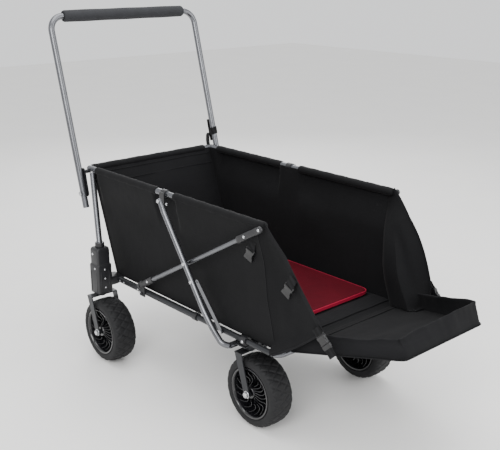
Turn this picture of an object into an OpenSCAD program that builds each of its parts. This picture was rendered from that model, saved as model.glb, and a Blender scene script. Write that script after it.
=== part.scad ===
// Folding wagon with a push handle, a fabric tub on a folding tube frame,
// four beach wheels on casters and a drop gate at the front.
// Frame: millimetres, +X is the front (gate end), +Z is up, the floor is z = 0.

/* [Body] */
// Height of the lower rail's axis
rail_z = 250; // [236:1:300]
// Height of the rim tube's axis
rim_z = 584; // [520:1:680]
// Half distance between the left and right frame planes
half_w = 246; // [215:1:300]
// Rear upper corner of the tub
rear_x = -463; // [-560:1:-440]
// Front end of the lower rail
front_x = 396; // [380:1:480]
// Lean of the back wall, top behind bottom
back_lean = 122; // [60:1:150]
// How far the frame shortens as it folds
fold_travel = 188; // [60:1:190]

/* [Tubes] */
// Outside diameter of the rear rail and rim tubes
tube_d = 19; // [17:0.5:24]
// Wall of a tube
tube_wall = 1.3; // [0.8:0.1:2]
// Outside diameter of the outer cross brace
brace_d = 17; // [12:0.5:20]
// Outside diameter of the inner cross brace
strut_d = 14; // [10:0.5:16]
// Radial gap of a sliding or turning fit
fit = 0.05; // [0.02:0.01:0.1]
// Gap between parts that pass each other
gap = 0.5; // [0.3:0.1:1]

/* [Wheels] */
// Wheel diameter over the tyre
wheel_d = 200; // [170:1:204]
// Width of the tyre
wheel_w = 76; // [50:1:80]
// Diameter of the rim inside the tyre
rim_d = 147; // [110:1:150]
// Offset of the axle from the swivel axis
trail = 36; // [25:1:50]
// Half track of the front casters
front_track = 211; // [170:1:213]
// Half track of the rear casters
rear_track = 300; // [290:1:360]
// Front swivel axis
front_stem_x = 266; // [262:1:290]
// Rear swivel axis
rear_stem_x = -340; // [-400:1:-300]
// Axle diameter
axle_d = 10; // [8:0.5:14]

/* [Handle] */
// Length of the arm from its pivot to the grip's axis
handle_len = 556; // [420:1:680]
// Lean of the handle behind the vertical
handle_lean = 15; // [5:1:25]
// Half distance between the arms
handle_half = 280; // [278:1:320]
// Outside diameter of the handle tube
handle_d = 20; // [16:0.5:25]
// Outside diameter of the foam grip
grip_d = 33; // [26:1:40]
// Radius of the handle's bends
handle_r = 45; // [30:1:80]

/* [Tub and gate] */
// Thickness of a fabric wall
cloth = 2; // [1:0.5:3]
// Thickness of the mat
mat_t = 12; // [6:1:20]
// Length of the gate
gate_len = 329; // [260:1:400]
// Half width of the gate at the hinge
gate_w0 = 222; // [180:1:224]
// Half width of the gate at its free end
gate_w1 = 157; // [120:1:220]
// Height of the lip round the gate
gate_lip = 58; // [30:1:80]
// Angle of the gate above the horizontal
gate_tilt = 12.4; // [0:0.1:30]

/* [Hidden] */
$fn = 48;
tr = tube_d / 2;
ir = tr - tube_wall;
sr = ir - fit;
br = brace_d / 2;
st = strut_d / 2;
hr = handle_d / 2;
ar = axle_d / 2;
axle_z = wheel_d / 2;
front_axle_x = front_stem_x + trail;
rear_axle_x = rear_stem_x + trail;
// fork
fork_t = 3.5;
fork_w = 26;
fork_in = wheel_w / 2 + 5;
fork_top = wheel_d + 12;
cup_t = 3;
mount_z = fork_top + cup_t + gap;
pin_r = 5;
// frame planes
strut_y = half_w + tr + 3.5 + st;
brace_y = strut_y + st + 1.3 + br;
wall_y = half_w - tr - 0.5;
// lower brace axis, its pivots and its ends
brace_x = front_stem_x - pin_r - br - 8.5;
brace_z = mount_z + br + 3;
brace_top = [brace_x - 278, rim_z - 10];
strut_foot = [rear_x + 286, rail_z + 24];
strut_top = [front_x - 36, rim_z - 4];
sleeve_x = strut_foot[0] + 252;
rim_mid = rear_x + 418;
// crossing of the two braces
cs = (strut_top[1] - strut_foot[1]) / (strut_top[0] - strut_foot[0]);
knee = [brace_x - 44, brace_z + 31];
knee2 = [brace_x - 83, brace_z + 71];
ca = (knee2[1] - brace_top[1]) / (knee2[0] - brace_top[0]);
cross_x = (brace_top[1] - strut_foot[1] + cs * strut_foot[0] - ca * brace_top[0]) / (cs - ca);
cross_z = strut_foot[1] + cs * (cross_x - strut_foot[0]);
// ear of the caster block, under the rail
ear_t = 2.5;
ear_z = rail_z - tr - 3 - ear_t;
// handle pivot
piv_x = rear_x + 11;
piv_z = rim_z - 74;
plate_t = 3;
post_top = [rear_x + 20, -half_w - 3, rim_z - tr - 2.4];
// gate hinge
hinge_x = front_x + 22;
hinge_z = rail_z + 12;
floor_z = rail_z + 11;
board_t = 3;
mat_z = floor_z + cloth + 2 * board_t + 1.5;
tub_rear = rear_x + back_lean;
lip_s = 18;
// housings
hous_w = 50;
hous_d = 52;
hous_top = mount_z + 149;
hous_step = mount_z + 95;
// overall ends, so that the origin is under the middle
x_min = piv_x - handle_len * sin(handle_lean) - grip_d / 2;
x_max = hinge_x + gate_len * cos(gate_tilt) + 3 * sin(gate_tilt);
ox = -(x_min + x_max) / 2;

// Which part to draw

// ---- helpers ----
// a straight rod between two points
module rod(a, b, r) {
    d = b - a;
    l = norm(d);
    translate(a)
        rotate([0, acos(d[2] / l), atan2(d[1], d[0])])
            cylinder(r = r, h = l);
}

// a rod through a list of points, with slightly proud ball corners
module bent(pts, r) {
    for (i = [0 : len(pts) - 2])
        rod(pts[i], pts[i + 1], r);
    if (len(pts) > 2)
        for (i = [1 : len(pts) - 2])
            translate(pts[i]) sphere(r = r + 0.4);
}

// a cylinder along X
module cyl_x(x, y, z, r, l) {
    translate([x, y, z]) rotate([0, 90, 0]) cylinder(r = r, h = l);
}

// a cylinder along Y, centred
module cyl_y(x, y, z, r, l) {
    translate([x, y + l / 2, z]) rotate([90, 0, 0]) cylinder(r = r, h = l);
}

// a block given by its low corner and its size
module block(x, y, z, a, b, c) {
    translate([x, y, z]) cube([a, b, c]);
}

// a flat plate cut in the XZ plane, standing from y to y + t
module side_plate(y, t) {
    translate([0, y + t, 0]) rotate([90, 0, 0]) linear_extrude(t) children();
}

// everything is written for the right side (y < 0); s = 1 makes the left side
module side(s) {
    if (s > 0)
        mirror([0, 1, 0]) children();
    else
        children();
}

// moves the whole model so that the origin is under its middle
module put() {
    translate([ox, 0, 0]) children();
}

// ---- rear frame ----
// outer rail tube, open at the front for the sliding front rail
module rail_rear(s) {
    color("dimgray") put() side(s) difference() {
        cyl_x(rear_stem_x - 20, -half_w, rail_z, tr, sleeve_x + 6 - rear_stem_x + 20);
        cyl_x(rear_stem_x - 15, -half_w, rail_z, ir, sleeve_x + 6 - rear_stem_x + 20);
    }
}

// tube across the back, between the two housings
module rear_cross_tube() {
    color("dimgray") put() cyl_y(rear_stem_x, 0, rail_z, tr - 1.5, 2 * (half_w - 10));
}

// moulded collars at the end of the outer rail
module rail_sleeves() {
    color("black") put() for (s = [-1, 1]) side(s) difference() {
        cyl_x(sleeve_x - 8, -half_w, rail_z, tr + 1.8, 16);
        cyl_x(sleeve_x - 9, -half_w, rail_z, tr, 18);
    }
}

// outer rim tube, open at the front
module rim_rear(s) {
    color("silver") put() side(s) difference() {
        cyl_x(rear_x, -half_w, rim_z, tr, rim_mid - rear_x);
        cyl_x(rear_x + 8, -half_w, rim_z, ir, rim_mid - rear_x);
    }
}

// tube across the top of the back, with round corners
module back_top_tube() {
    color("silver") put() difference() {
        union() {
            cyl_y(rear_x, 0, rim_z, tr, 2 * half_w);
            for (y = [-half_w, half_w]) translate([rear_x, y, rim_z]) sphere(r = tr);
        }
        for (y = [-half_w, half_w]) cyl_x(rear_x, y, rim_z, tr, 20);
    }
}

// leaning post from the rim corner to a ferrule on the housing
module rear_posts() {
    color("silver") put() for (s = [-1, 1]) side(s) {
        rod(post_top, [rear_stem_x - 2, -rear_track + 2, hous_top + 8], tr - 0.5);
        translate([rear_stem_x - 2, -rear_track + 2, hous_top]) cylinder(r = tr + 3, h = 15);
    }
}

// moulded corner that holds the post, the rail and the caster
module rear_housing(s) {
    color("black") put() side(s) difference() {
        union() {
            block(rear_stem_x - hous_w / 2, -rear_track - hous_d / 2, mount_z,
                  hous_w, hous_d, hous_step - mount_z);
            block(rear_stem_x - hous_w / 2 + 3, -rear_track - hous_d / 2 + 3, hous_step,
                  hous_w - 6, hous_d - 6, hous_top - hous_step);
            block(rear_stem_x - hous_w / 2, -rear_track, rail_z - 14,
                  hous_w, rear_track - half_w + 10, 28);
            // ribs
            for (k = [0 : 2])
                block(rear_stem_x - hous_w / 2 - 1.5, -rear_track - hous_d / 2 + 8 + 16 * k,
                      mount_z + 6, hous_w + 3, 4, 70);
        }
        translate([rear_stem_x, -rear_track, mount_z - 1]) cylinder(r = pin_r + fit, h = 36);
        cyl_x(rear_stem_x - 20, -half_w, rail_z, tr, 80);
        // seat of the rear cross tube
        cyl_y(rear_stem_x, 0, rail_z, tr - 1.5, 2 * (half_w - 10));
        for (q = [[-12, -12], [12, -20]])
            cyl_y(rear_stem_x + q[0], -rear_track - hous_d / 2, hous_top + q[1], 3.4, 8);
    }
}

// hanging lug at the open end of the outer rim, beside the brace's top
module rim_mid_brackets() {
    color("black") put() for (s = [-1, 1]) side(s) {
        difference() {
            cyl_x(rim_mid - 22, -half_w, rim_z, tr + 2.4, 20);
            cyl_x(rim_mid - 24, -half_w, rim_z, tr, 24);
        }
        side_plate(-half_w - tr - 5, 3) difference() {
            union() {
                translate([rim_mid - 22, rim_z - 30]) square([22, 36]);
                translate([rim_mid - 11, rim_z - 30]) circle(r = 11);
            }
            translate([rim_mid - 11, rim_z - 28]) circle(r = 2.6);
        }
    }
}

// riveted lug on the rail with the strut's pivot pin
module strut_foot_brackets() {
    color("dimgray") put() for (s = [-1, 1]) side(s) {
        side_plate(-half_w - tr - 3, 3) union() {
            translate([strut_foot[0] - 13, rail_z - 12]) square([26, 36]);
            translate([strut_foot[0], strut_foot[1]]) circle(r = 13);
        }
        cyl_y(strut_foot[0], -strut_y + 0.75, strut_foot[1], 4, st + 6.5);
        cyl_y(strut_foot[0], -strut_y - (st + 1) / 2 - 1.5, strut_foot[1], 6.5, 2);
        cyl_y(strut_foot[0], -half_w - tr - 4, rail_z - 4, 4.5, 3);
    }
}

// plate that joins each arm to the rim corner, with the pivot pin
module handle_plates() {
    color("dimgray") put() for (s = [-1, 1]) side(s) difference() {
        union() {
            side_plate(-handle_half + hr + 0.5, plate_t) hull() {
                translate([piv_x, piv_z]) circle(r = 12);
                translate([piv_x - 14, piv_z + 66]) circle(r = 12);
            }
            // spacers to the post and the rim
            cyl_y(piv_x - 7, -half_w - tr - 2 + 4, rim_z - 7, 6, handle_half - hr - half_w - 8);
            // pivot pin
            cyl_y(piv_x, -handle_half + hr - 10, piv_z, 4, 2 * hr + 8);
            cyl_y(piv_x, -handle_half - hr - 1.8, piv_z, 7, 2);
        }
        cyl_x(rear_x - 30, -half_w, rim_z, tr, 80);
        translate([rear_x, -half_w, rim_z]) sphere(r = tr);
    }
}

// ---- handle ----
// local frame: origin on the pivot axis, local z along the arm
module handle_frame() {
    translate([piv_x, 0, piv_z]) rotate([0, -handle_lean, 0]) children();
}

module handle_arm(s) {
    color("silver") put() side(s) handle_frame() difference() {
        union() {
            translate([0, -handle_half, -44]) cylinder(r = hr, h = handle_len - handle_r + 44);
            translate([0, -handle_half, -46]) cylinder(r = hr - 0.6, h = 2);
        }
        cyl_y(0, -handle_half, 0, 4 + fit, 3 * hr);
    }
}

module handle_top() {
    color("silver") put() handle_frame() {
        cyl_y(0, 0, handle_len, hr, 2 * (handle_half - handle_r));
        for (s = [-1, 1]) side(s)
            translate([0, -handle_half + handle_r, handle_len - handle_r])
                rotate([90, 0, -90]) rotate_extrude(angle = 90, $fn = 64)
                    translate([handle_r, 0]) circle(r = hr);
    }
}

module handle_grip() {
    color("black") put() handle_frame() difference() {
        cyl_y(0, 0, handle_len, grip_d / 2, 2 * (handle_half - handle_r) - 6);
        cyl_y(0, 0, handle_len, hr + 0.3, 2 * (handle_half - handle_r));
    }
}

// tie strap on the left arm, with its hanging end
module handle_strap() {
    color("black") put() side(1) handle_frame() {
        difference() {
            translate([0, -handle_half, 116]) cylinder(r = hr + 3.4, h = 26);
            translate([0, -handle_half, 115]) cylinder(r = hr + 0.3, h = 28);
        }
        block(-hr - 5.5, -handle_half - 12, 92, 2.2, 24, 76);
    }
}

// ---- front frame ----
module rail_front(s) {
    color("dimgray") put() side(s) {
        cyl_x(sleeve_x - 145, -half_w, rail_z, sr, front_x - 11 - sleeve_x + 145);
    }
}

// tube across the front under the gate's hinge, with its bends
module front_cross_tube() {
    color("dimgray") put() {
        cyl_y(front_x + 14, 0, rail_z, sr, 2 * half_w - 50);
        for (s = [-1, 1]) side(s)
            translate([front_x - 11, -half_w + 25, rail_z])
                rotate([0, 0, -90]) rotate_extrude(angle = 90)
                    translate([25, 0]) circle(r = sr);
    }
}

// moulded clamp on the rail above each front caster
module front_clamps() {
    color("black") put() for (s = [-1, 1]) side(s) difference() {
        union() {
            cyl_x(front_stem_x + 10, -half_w, rail_z, tr + 3, 18);
            block(front_stem_x + 10, -half_w - 8, ear_z + ear_t, 18, 16, 10);
        }
        cyl_x(front_stem_x + 9, -half_w, rail_z, sr, 20);
        block(front_stem_x - 10, -half_w - 24, ear_z - 10, 60, 50, ear_t + 10);
    }
}

// block that holds the kingpin and the brace's cross tube
module caster_block(s) {
    color("dimgray") put() side(s) difference() {
        union() {
            block(brace_x - br - 5, -front_track - 22, mount_z,
                  front_stem_x + 20 - brace_x + br + 5, 44, ear_z + ear_t + 1.2 - mount_z);
            block(front_stem_x - 4, -half_w - 13, ear_z,
                  36, half_w + 13 - front_track + 22, ear_t);
        }
        cyl_y(brace_x, -front_track, brace_z, br + fit, 60);
        translate([front_stem_x, -front_track, mount_z - 1]) cylinder(r = pin_r + fit, h = 21);
    }
}

// inner rim tube, slides in the outer one, with its corner end
module rim_front(s) {
    color("silver") put() side(s) {
        cyl_x(rim_mid - 155, -half_w, rim_z, sr, strut_top[0] - 12 - rim_mid + 155);
        translate([strut_top[0] - 12, -half_w, rim_z]) sphere(r = sr);
    }
}

// ---- cross braces ----
// outer brace: one leg each side, joined by a tube under the rails
module brace(s) {
    color("silver") put() side(s) {
        difference() {
            bent([[brace_top[0], -brace_y, brace_top[1]], [knee2[0], -brace_y, knee2[1]],
                  [knee[0], -brace_y, knee[1]], [brace_x - 14, -brace_y, brace_z + 6],
                  [brace_x, -brace_y + 14, brace_z]], br);
            cyl_y(brace_x, 0, brace_z, br + 2, 2 * (brace_y - 16));
        }
        translate([brace_top[0], -brace_y, brace_top[1]]) sphere(r = br + 0.4);
        // rivet heads: brace top, crossing, link bar
        for (q = [brace_top, [cross_x, cross_z], [cross_x + 31, cross_z + ca * 31]])
            cyl_y(q[0], -brace_y - br, q[1], 5.5, 4);
    }
}

module brace_cross_tube() {
    color("silver") put() cyl_y(brace_x, 0, brace_z, br, 2 * (brace_y - 16));
}

// inner brace: a strut with a flat moulded fitting at each end
module strut(s) {
    d = strut_top - strut_foot;
    l = norm(d);
    a = atan2(d[1], d[0]);
    color("silver") put() side(s) translate([strut_foot[0], 0, strut_foot[1]])
        rotate([0, -a, 0]) difference() {
            union() {
                translate([20, -strut_y, 0]) rotate([0, 90, 0]) cylinder(r = st, h = l - 40);
                for (x = [0, l]) {
                    cyl_y(x, -strut_y, 0, 9, st + 1);
                    block(x > 0 ? l - 62 : 0, -strut_y - st / 2 - 0.5, -8, 62, st + 1, 16);
                }
                cyl_y(l, -strut_y - st / 2 - 1, 0, 5, 3);
            }
            cyl_y(0, -strut_y, 0, 4 + fit, 40);
        }
}

// short bar beside the brace, riveted to the rail
module link_bars() {
    low = [brace_x - 46, rail_z];
    top = [cross_x + 21, cross_z - 54];
    color("silver") put() for (s = [-1, 1]) side(s) {
        side_plate(-half_w - tr - 3, 2.4) difference() {
            hull() {
                translate(low) circle(r = 7, $fn = 32);
                translate(top) circle(r = 7, $fn = 32);
            }
            translate(top) circle(r = 2.6);
        }
        cyl_y(low[0], -half_w - tr - 3.4, low[1], 4.5, 1.6);
    }
}

// ---- casters and wheels; x is the swivel axis, y the track ----
module fork(x, y) {
    color("dimgray") put() difference() {
        union() {
            // top plate
            translate([x, y, fork_top - fork_t])
                block(-fork_w / 2, -fork_in - fork_t, 0, fork_w, 2 * (fork_in + fork_t), fork_t);
            // legs
            for (k = [-1, 1])
                side_plate(k > 0 ? y + fork_in : y - fork_in - fork_t, fork_t) union() {
                    polygon([[x - fork_w / 2, fork_top], [x + fork_w / 2, fork_top],
                             [x + trail + 10.5, axle_z + 3], [x + trail - 10.5, axle_z - 3]]);
                    translate([x + trail, axle_z]) circle(r = 11);
                }
            // lower bearing cup and kingpin
            translate([x, y, fork_top]) cylinder(r = 18, h = cup_t);
            translate([x, y, fork_top - fork_t - 4]) cylinder(r = 9, h = 4);
            translate([x, y, fork_top - fork_t]) cylinder(r = pin_r, h = cup_t + fork_t + 18);
            // axle, its spacers and its bolt heads
            cyl_y(x + trail, y, axle_z, ar, 2 * fork_in + 2 * fork_t + 8);
            for (k = [-1, 1]) {
                cyl_y(x + trail, y + k * (wheel_w / 2 + 2.4), axle_z, 9, 5.2);
                cyl_y(x + trail, y + k * (fork_in + fork_t + 3), axle_z, 8, 6);
            }
        }
    }
}

// moulded wheel: barrel, deep dish, turned spokes and a boss
module hub(x, y) {
    color("black") put() translate([x + trail, y, axle_z]) rotate([90, 0, 0]) difference() {
        union() {
            rotate_extrude($fn = 96) polygon([
                [rim_d / 2 - 6, -wheel_w / 2 + 3], [rim_d / 2, -wheel_w / 2 + 3],
                [rim_d / 2, wheel_w / 2 - 3], [rim_d / 2 - 6, wheel_w / 2 - 3],
                [rim_d / 2 - 9, wheel_w / 2 - 12], [rim_d / 2 - 13, 4],
                [18, 4], [15, wheel_w / 2 - 0.6], [ar + fit, wheel_w / 2 - 0.6],
                [ar + fit, -wheel_w / 2 + 0.6], [15, -wheel_w / 2 + 0.6], [18, -4],
                [rim_d / 2 - 13, -4], [rim_d / 2 - 9, -wheel_w / 2 + 12]]);
            for (k = [0 : 11])
                rotate(30 * k) translate([14, -1.5, -wheel_w / 2 + 16])
                    cube([rim_d / 2 - 24, 3, wheel_w - 32]);
        }
    }
}

module tyre(x, y) {
    r = wheel_d / 2;
    w = wheel_w / 2;
    color("dimgray") put() translate([x + trail, y, axle_z]) rotate([90, 0, 0])
        rotate_extrude($fn = 96) polygon([
            [rim_d / 2, -w + 3], [rim_d / 2 + 4, -w], [r - 12, -w], [r - 3, -w + 5],
            [r, -w + 14], [r, -4], [r - 3, -2.5], [r - 3, 2.5], [r, 4], [r, w - 14],
            [r - 3, w - 5], [r - 12, w], [rim_d / 2 + 4, w], [rim_d / 2, w - 3]]);
}

// ---- tub ----
module side_wall(s) {
    color("#26262a") put() side(s) {
        difference() {
            union() {
                side_plate(-wall_y, cloth) polygon([
                    [rear_x + 14, rim_z + 2], [strut_top[0] - 14, rim_z + 2],
                    [front_x - 4, floor_z - 1], [tub_rear, floor_z - 1]]);
                // hems round the rim tubes
                cyl_x(rear_x + 46, -half_w, rim_z, tr + 1.8, rim_mid - rear_x - 96);
                cyl_x(rim_mid + 34, -half_w, rim_z, tr + 0.6, strut_top[0] - 70 - rim_mid);
            }
            cyl_x(rear_x - 10, -half_w, rim_z, tr + 0.3, rim_mid - rear_x + 20);
            cyl_x(rim_mid, -half_w, rim_z, sr + 0.3, 500);
            // notch beside the hanging lug
            block(rim_mid - 25, -wall_y - 1, rim_z - 14, 28, 4, 20);
        }
    }
}

module back_wall() {
    yb = wall_y - cloth - gap;
    color("#303036") put() difference() {
        union() {
            translate([0, yb, 0]) rotate([90, 0, 0]) linear_extrude(2 * yb) polygon([
                [rear_x + 12, rim_z], [rear_x + 14, rim_z + 1], [tub_rear + 6, floor_z + 3],
                [tub_rear + 4, floor_z + 3]]);
            cyl_y(rear_x, -12, rim_z, tr + 1.6, 2 * half_w - 76);
            block(rear_x + tr, -half_w + 26, rim_z - 2, 4, 2 * half_w - 76, 4);
        }
        cyl_y(rear_x, 0, rim_z, tr + 0.3, 3 * half_w);
    }
}

module tub_floor() {
    color("#1c1c1e") put()
        block(tub_rear + 8, -wall_y + cloth + gap, floor_z - 1,
              front_x - 18 - tub_rear, 2 * (wall_y - cloth - gap), cloth - 0.5);
}

module base_board_rear() {
    color("#2a2a2c") put()
        block(tub_rear + 12, -wall_y + 8, floor_z + cloth + board_t, 426, 2 * wall_y - 16, board_t - 0.3);
}

module base_board_front() {
    color("#2a2a2c") put()
        block(front_x - 402, -wall_y + 8, floor_z + cloth - 0.3, 390, 2 * wall_y - 16, board_t - 0.3);
}

// padded mat, with round corners
module mat() {
    l = front_x - 80 - tub_rear - 22;
    w = 2 * (wall_y - 20);
    color("#5a1620") put() translate([tub_rear + 22, -w / 2, mat_z]) linear_extrude(mat_t)
        union() {
            translate([20, 0]) square([l - 40, w]);
            translate([0, 20]) square([l, w - 40]);
            for (x = [20, l - 20], y = [20, w - 20]) translate([x, y]) circle(r = 20);
        }
}

// cloth triangle between the wall's front edge and the gate's buckle
module gusset(s) {
    color("#26262a") put() side(s)
        translate([front_x - 2, -wall_y + cloth + gap + 44 * sin(4), 0]) rotate([0, 0, 4])
            side_plate(0, cloth) polygon([
                [1, floor_z + 8], [-44, rim_z + 2], [-30, rim_z + 2], [143, rail_z + 109],
                [131, rail_z + 97]]);
}

// ---- gate ----
module gate_frame() {
    translate([hinge_x, 0, hinge_z]) rotate([0, -gate_tilt, 0]) children();
}

function gate_y(s) = gate_w0 + (gate_w1 - gate_w0) * (s - 16) / (gate_len - 16);

module gate_board() {
    color("#202022") put() gate_frame() {
        translate([0, 0, -3]) linear_extrude(6) polygon([
            [16, -gate_y(16)], [gate_len - 14, -gate_y(gate_len - 14)], [gate_len, -gate_w1 + 14],
            [gate_len, gate_w1 - 14], [gate_len - 14, gate_y(gate_len - 14)], [16, gate_y(16)]]);
        // sewn roll that the gate turns on
        cyl_y(0, 0, 0, 3, 2 * gate_w0 - 40);
        block(0, -gate_w0 + 24, -1, 18, 2 * gate_w0 - 48, 2);
    }
}

module gate_lip() {
    t = 4;
    color("#2a2a2c") put() gate_frame() translate([0, 0, 3]) linear_extrude(gate_lip) difference() {
        polygon([[lip_s, -gate_y(lip_s)], [gate_len - 14, -gate_y(gate_len - 14)],
                 [gate_len, -gate_w1 + 14], [gate_len, gate_w1 - 14],
                 [gate_len - 14, gate_y(gate_len - 14)], [lip_s, gate_y(lip_s)]]);
        polygon([[lip_s - 1, -gate_y(lip_s) + t], [gate_len - 15, -gate_y(gate_len - 14) + t],
                 [gate_len - t, -gate_w1 + 16], [gate_len - t, gate_w1 - 16],
                 [gate_len - 15, gate_y(gate_len - 14) - t], [lip_s - 1, gate_y(lip_s) - t]]);
    }
}

// frame of a side buckle: x along the pull, y across the cloth, z along the webbing's width
module buckle_frame(s) {
    side(s) translate([front_x + 138, -wall_y + 13, rail_z + 94]) rotate([0, 46, 6]) children();
}

// socket half with its loop of webbing on the gusset
module gate_buckle(s) {
    color("black") put() buckle_frame(s) {
        difference() {
            block(0, -5, -14, 24, 10, 28);
            block(4, -3.2, -11.5, 30, 6.4, 23);
        }
        block(-16, -4, -12.5, 16, 2.4, 25);
    }
}

// plug half with its prongs, bar and webbing
module buckle_tip(s) {
    color("black") put() buckle_frame(s) {
        block(24 + gap, -4, -14, 14, 8, 28);
        for (z = [-10.4, -1.6, 7.2]) block(8, -2.4, z, 17, 4.8, 3.2);
        block(38 + gap, -1.2, -12.5, 14, 2.4, 25);
    }
}

// open sockets on the wall and on the gusset that take the gate's plugs when it is shut
module closing_buckles() {
    color("black") put() for (s = [-1, 1]) side(s) {
        translate([front_x - 88, -wall_y - 9, rim_z - 96]) rotate([0, 18, 0]) {
            block(-13, 0, -20, 26, 8.6, 22);
            block(-11, 6.4, 2, 22, 2.4, 18);
        }
    }
}

// ---- drawing ----
rail_rear(1);  // rail_rear_left
rail_rear(-1);  // rail_rear_right
rear_cross_tube();
rail_sleeves();
rim_rear(1);  // rim_rear_left
rim_rear(-1);  // rim_rear_right
back_top_tube();
rear_posts();
rear_housing(1);  // rear_housing_left
rear_housing(-1);  // rear_housing_right
rim_mid_brackets();
strut_foot_brackets();
handle_plates();
handle_arm(1);  // handle_arm_left
handle_arm(-1);  // handle_arm_right
handle_top();
handle_grip();
handle_strap();
rail_front(1);  // rail_front_left
rail_front(-1);  // rail_front_right
front_cross_tube();
front_clamps();
caster_block(1);  // caster_block_left
caster_block(-1);  // caster_block_right
rim_front(1);  // rim_front_left
rim_front(-1);  // rim_front_right
brace(1);  // brace_left
brace(-1);  // brace_right
brace_cross_tube();
strut(1);  // strut_left
strut(-1);  // strut_right
link_bars();
fork(front_stem_x, front_track);  // fork_front_left
fork(front_stem_x, -front_track);  // fork_front_right
fork(rear_stem_x, rear_track);  // fork_rear_left
fork(rear_stem_x, -rear_track);  // fork_rear_right
hub(front_stem_x, front_track);  // hub_front_left
hub(front_stem_x, -front_track);  // hub_front_right
hub(rear_stem_x, rear_track);  // hub_rear_left
hub(rear_stem_x, -rear_track);  // hub_rear_right
tyre(front_stem_x, front_track);  // tyre_front_left
tyre(front_stem_x, -front_track);  // tyre_front_right
tyre(rear_stem_x, rear_track);  // tyre_rear_left
tyre(rear_stem_x, -rear_track);  // tyre_rear_right
side_wall(1);  // side_wall_left
side_wall(-1);  // side_wall_right
back_wall();
tub_floor();
base_board_rear();
base_board_front();
mat();
gusset(1);  // gusset_left
gusset(-1);  // gusset_right
gate_board();
gate_lip();
gate_buckle(1);  // gate_buckle_left
gate_buckle(-1);  // gate_buckle_right
buckle_tip(1);  // buckle_tip_left
buckle_tip(-1);  // buckle_tip_right
closing_buckles();
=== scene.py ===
import math

import bmesh
import bpy
import numpy as np
from mathutils import Matrix, Vector


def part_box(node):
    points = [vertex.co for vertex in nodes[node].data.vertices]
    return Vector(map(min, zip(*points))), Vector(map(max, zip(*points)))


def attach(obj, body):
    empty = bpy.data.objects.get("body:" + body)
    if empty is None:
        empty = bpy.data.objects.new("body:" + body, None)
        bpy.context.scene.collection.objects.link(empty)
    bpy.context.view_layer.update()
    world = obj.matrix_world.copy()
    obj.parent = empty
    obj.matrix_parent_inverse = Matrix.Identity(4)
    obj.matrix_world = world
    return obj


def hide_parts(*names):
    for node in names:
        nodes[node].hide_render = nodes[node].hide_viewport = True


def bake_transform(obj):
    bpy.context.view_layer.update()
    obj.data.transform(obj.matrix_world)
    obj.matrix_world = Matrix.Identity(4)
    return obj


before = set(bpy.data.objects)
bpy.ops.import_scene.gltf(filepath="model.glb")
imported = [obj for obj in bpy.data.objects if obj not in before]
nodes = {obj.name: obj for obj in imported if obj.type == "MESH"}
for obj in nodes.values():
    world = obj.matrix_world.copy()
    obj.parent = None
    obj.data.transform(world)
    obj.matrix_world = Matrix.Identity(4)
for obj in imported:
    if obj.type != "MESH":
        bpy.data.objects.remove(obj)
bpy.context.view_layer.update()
scene = bpy.context.scene

# ---- Set-up: where the drawing lies in the frame ----
# The rear rim tube starts 463 mm behind the drawing's origin, and every
# height is read off the tube that the piece is fixed to.
X0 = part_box("rim_rear_left")[0].x + 0.463
RIM_Z = (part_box("rim_rear_left")[0].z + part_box("rim_rear_left")[1].z) * 500
RAIL_Z = (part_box("rail_rear_left")[0].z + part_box("rail_rear_left")[1].z) * 500
HALF_W = (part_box("rail_rear_left")[0].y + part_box("rail_rear_left")[1].y) * 500


def at(x, y, z):
    """A place on the drawing, in millimetres, as a point of the frame in metres."""
    return Vector((X0 + x / 1000, y / 1000, z / 1000))


# ---- Camera ----
# Stands to the front right of the wagon at about a tall person's eye level,
# with a longish lens.
cam_data = bpy.data.cameras.new("camera")
cam_data.lens = 59.29
cam_data.sensor_width = 36
cam_data.clip_start = 0.01
cam = bpy.data.objects.new("camera", cam_data)
scene.collection.objects.link(cam)
cam.location = at(1781.16, -1558.88, 1199.34)
turn, dip = math.radians(48.38), math.radians(17.51)
look = Vector((-math.sin(turn) * math.cos(dip), math.cos(turn) * math.cos(dip), -math.sin(dip)))
cam.rotation_euler = look.to_track_quat("-Z", "Y").to_euler()
scene.camera = cam

# ---- Studio ----
# One large overhead softbox, a key from the front left and a weaker fill from
# the right, over a pale matt floor.
for name, place, aim, size, power in (
    ("key", (1.6, -2.6, 2.2), (0, 0, 0.4), 1.8, 78),
    ("fill", (2.8, 1.4, 1.6), (0, 0, 0.4), 2.2, 40),
    ("overhead", (-0.1, 0.1, 2.9), (0, 0, 0.3), 2.4, 60),
    ("back", (-2.4, 1.8, 1.8), (0, 0, 0.5), 1.6, 24),
):
    lamp = bpy.data.lights.new(name, "AREA")
    lamp.size = size
    lamp.energy = power
    stand = bpy.data.objects.new(name, lamp)
    scene.collection.objects.link(stand)
    stand.location = place
    stand.rotation_euler = (Vector(aim) - Vector(place)).to_track_quat("-Z", "Y").to_euler()


def lin(code):
    """An sRGB hex colour as the linear one that the shaders use."""
    parts = [int(code[i:i + 2], 16) / 255 for i in (1, 3, 5)]
    return tuple(c / 12.92 if c <= 0.04045 else ((c + 0.055) / 1.055) ** 2.4 for c in parts) + (1.0,)


def add(tree, kind, sockets=None, **settings):
    """Adds a node, with its settings and what goes into its sockets."""
    node = tree.nodes.new("ShaderNode" + kind)
    for key, value in settings.items():
        setattr(node, key, value)
    for key, value in (sockets or {}).items():
        if isinstance(value, bpy.types.NodeSocket):
            tree.links.new(value, node.inputs[key])
        else:
            node.inputs[key].default_value = value
    return node


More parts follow.
